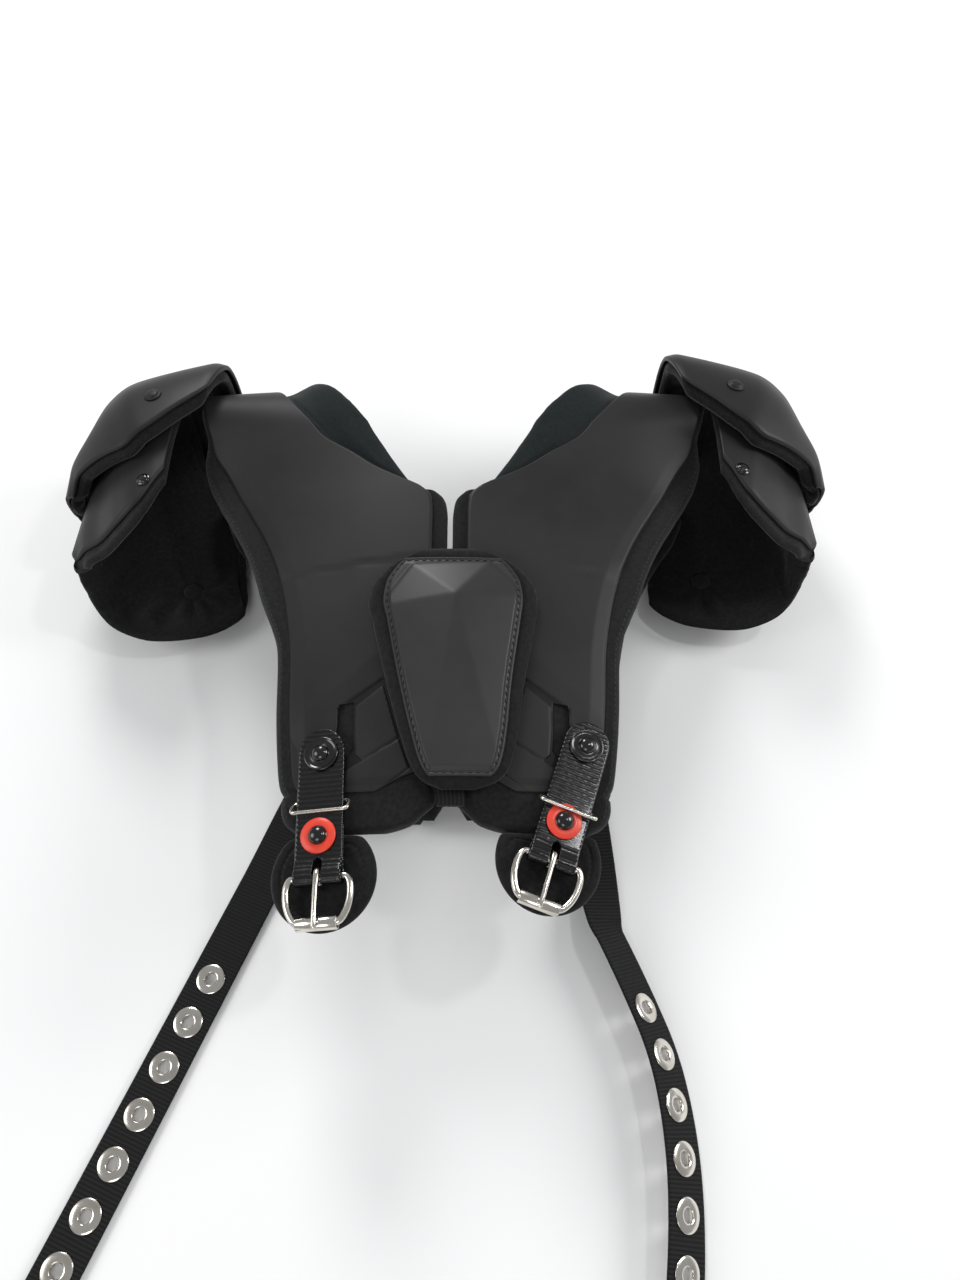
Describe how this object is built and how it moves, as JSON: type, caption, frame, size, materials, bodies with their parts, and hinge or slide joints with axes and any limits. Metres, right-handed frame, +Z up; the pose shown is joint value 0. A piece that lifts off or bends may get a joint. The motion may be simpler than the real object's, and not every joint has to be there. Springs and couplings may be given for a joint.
{
  "type": "football shoulder pad",
  "caption": "Youth football shoulder pad lying on its back: lined arch shells, neck pads, epaulets, shoulder cups, chest plate, buckle straps and punched belts.",
  "frame": {"origin": "centre of the flat face of the back bridge, where the pad rests on the table", "axes": "+Z up from the back to the chest, +Y towards the wearer's neck, +X to the right as seen from above the chest with the neck away"},
  "size_m": [0.5256, 0.6047, 0.1336],
  "materials": {
    "shell_plastic": "satin",
    "liner_fabric": "matte",
    "neck_fabric": "satin",
    "webbing": "matte",
    "strap_vinyl": "glossy",
    "black_snap": "glossy",
    "red_washer": "satin",
    "nickel": "polished"
  },
  "bodies": {
    "harness": {"arch_shell_left": "shell_plastic", "arch_liner_left": "liner_fabric", "neck_pad_left": "neck_fabric", "epaulet_left": "shell_plastic", "epaulet_pad_left": "liner_fabric", "shoulder_cup_left": "shell_plastic", "cup_lining_left": "liner_fabric", "shoulder_hinge_strap_left": "webbing", "epaulet_rivet_left": "shell_plastic", "cup_rivet_left": "shell_plastic", "buckle_strap_left": "strap_vinyl", "strap_rivet_left": "black_snap", "snap_washer_left": "red_washer", "snap_stud_left": "black_snap", "strap_keeper_left": "nickel", "belt_flap_left": "liner_fabric", "belt_webbing_left": "webbing", "grommet_left_1": "nickel", "grommet_left_2": "nickel", "grommet_left_3": "nickel", "grommet_left_4": "nickel", "grommet_left_5": "nickel", "grommet_left_6": "nickel", "grommet_left_7": "nickel", "arch_shell_right": "shell_plastic", "arch_liner_right": "liner_fabric", "neck_pad_right": "neck_fabric", "epaulet_right": "shell_plastic", "epaulet_pad_right": "liner_fabric", "shoulder_cup_right": "shell_plastic", "cup_lining_right": "liner_fabric", "shoulder_hinge_strap_right": "webbing", "epaulet_rivet_right": "shell_plastic", "cup_rivet_right": "shell_plastic", "buckle_strap_right": "strap_vinyl", "strap_rivet_right": "black_snap", "snap_washer_right": "red_washer", "snap_stud_right": "black_snap", "strap_keeper_right": "nickel", "belt_flap_right": "liner_fabric", "belt_webbing_right": "webbing", "grommet_right_1": "nickel", "grommet_right_2": "nickel", "grommet_right_3": "nickel", "grommet_right_4": "nickel", "grommet_right_5": "nickel", "grommet_right_6": "nickel", "grommet_right_7": "nickel", "chest_pad": "liner_fabric", "chest_plate": "shell_plastic", "lower_link": "webbing", "back_bridge": "shell_plastic"},
    "frame_left": {"buckle_frame_left": "nickel"},
    "prong_left": {"buckle_prong_left": "nickel"},
    "roller_left": {"buckle_roller_left": "nickel"},
    "frame_right": {"buckle_frame_right": "nickel"},
    "prong_right": {"buckle_prong_right": "nickel"},
    "roller_right": {"buckle_roller_right": "nickel"}
  },
  "joints": [
    {"name": "frame_swing_left", "type": "hinge", "parent": "harness", "child": "frame_left", "pos_m": [-0.0641, -0.19235, 0.10133], "axis": [-0.985, -0.0348, -0.1687], "range_deg": [0, 45]},
    {"name": "prong_lift_left", "type": "hinge", "parent": "frame_left", "child": "prong_left", "pos_m": [-0.0641, -0.19235, 0.10133], "axis": [-0.985, -0.0348, -0.1687], "range_deg": [0, 75]},
    {"name": "roller_spin_left", "type": "hinge", "parent": "frame_left", "child": "roller_left", "pos_m": [-0.06305, -0.21529, 0.09996], "axis": [0.985, 0.0348, 0.1687], "continuous": true},
    {"name": "frame_swing_right", "type": "hinge", "parent": "harness", "child": "frame_right", "pos_m": [0.0553, -0.18417, 0.10379], "axis": [-0.9297, 0.3083, 0.2015], "range_deg": [0, 45]},
    {"name": "prong_lift_right", "type": "hinge", "parent": "frame_right", "child": "prong_right", "pos_m": [0.0553, -0.18417, 0.10379], "axis": [-0.9297, 0.3083, 0.2015], "range_deg": [0, 75]},
    {"name": "roller_spin_right", "type": "hinge", "parent": "frame_right", "child": "roller_right", "pos_m": [0.04805, -0.206, 0.10372], "axis": [0.9297, -0.3083, -0.2015], "continuous": true}
  ]
}
